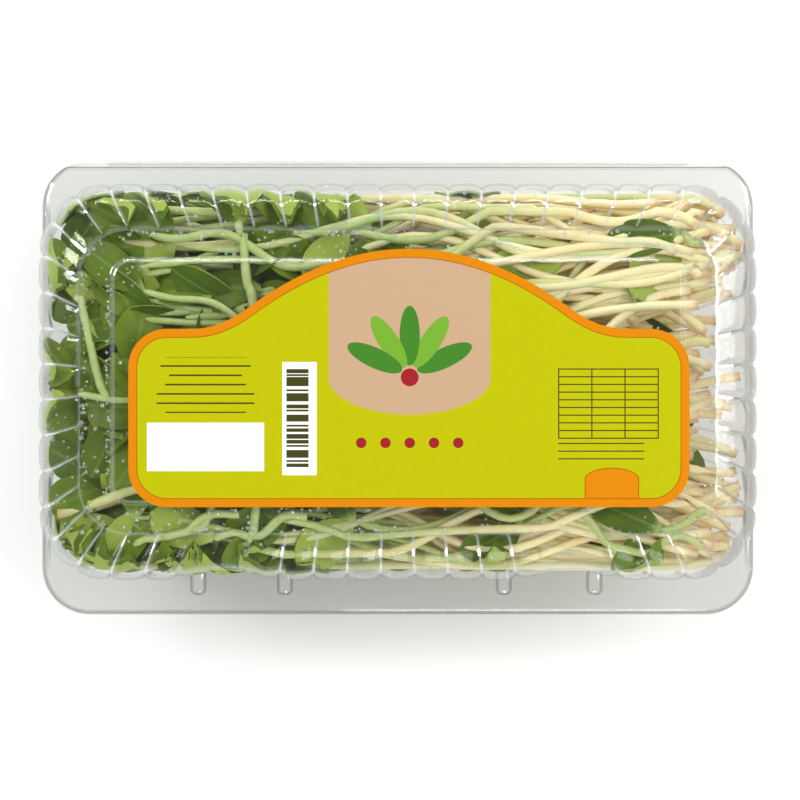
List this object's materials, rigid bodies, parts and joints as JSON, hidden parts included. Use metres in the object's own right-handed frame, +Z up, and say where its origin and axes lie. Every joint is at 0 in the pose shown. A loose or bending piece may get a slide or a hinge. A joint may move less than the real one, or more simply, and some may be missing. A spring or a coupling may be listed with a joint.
{
  "type": "sunflower microgreens tray",
  "caption": "Clear hinged tray with fluted walls and a domed lid, packed with cut sunflower sprouts lying lengthwise, with a blank sticker on the lid.",
  "frame": {"origin": "centre of the closed pack's bounding box, at its foot", "axes": "+X along the long side, towards the sprouts' cut ends; +Y across, towards the hinge; +Z up, from the tray's foot to the lid"},
  "size_m": [0.1866, 0.1191, 0.0676],
  "materials": {
    "clear": "thin clear formed sheet, smooth and glossy",
    "sticker": "printed film, satin",
    "stem": "moist pale plant stem, soft sheen",
    "leaf": "fresh green seed leaf, soft sheen"
  },
  "bodies": {
    "base": {"tray": "clear", "leaves_1_1": "leaf", "leaves_1_2": "leaf", "leaves_1_3": "leaf", "leaves_1_4": "leaf", "leaves_1_5": "leaf", "leaves_2_1": "leaf", "leaves_2_2": "leaf", "leaves_3_1": "leaf", "leaves_3_2": "leaf", "leaves_4_1": "leaf", "leaves_4_2": "leaf", "leaves_4_3": "leaf", "leaves_4_4": "leaf", "leaves_4_5": "leaf", "leaves_4_6": "leaf", "leaves_5_1": "leaf", "leaves_5_2": "leaf", "leaves_5_3": "leaf", "leaves_5_4": "leaf", "leaves_6_1": "leaf", "leaves_6_2": "leaf", "leaves_6_3": "leaf", "leaves_6_4": "leaf", "leaves_7_1": "leaf", "leaves_7_2": "leaf", "leaves_7_3": "leaf", "leaves_7_4": "leaf", "stems_1_1": "stem", "stems_1_2": "stem", "stems_1_3": "stem", "stems_1_4": "stem", "stems_2_1": "stem", "stems_2_2": "stem", "stems_2_3": "stem", "stems_3_1": "stem", "stems_3_2": "stem", "stems_3_3": "stem", "stems_3_4": "stem", "stems_4_1": "stem", "stems_4_2": "stem", "stems_4_3": "stem", "stems_4_4": "stem", "stems_5_1": "stem", "stems_5_2": "stem", "stems_5_3": "stem", "stems_5_4": "stem", "stems_5_5": "stem", "stems_6_1": "stem", "stems_6_2": "stem", "stems_6_3": "stem", "stems_7_1": "stem", "stems_7_2": "stem", "stems_7_3": "stem", "stems_7_4": "stem"},
    "cover": {"lid": "clear", "label": "sticker"}
  },
  "joints": [
    {"name": "lid_hinge", "type": "hinge", "parent": "base", "child": "cover", "pos_m": [0, 0.0588, 0.03815], "axis": [-1, 0, 0], "range_deg": [0, 180]}
  ]
}
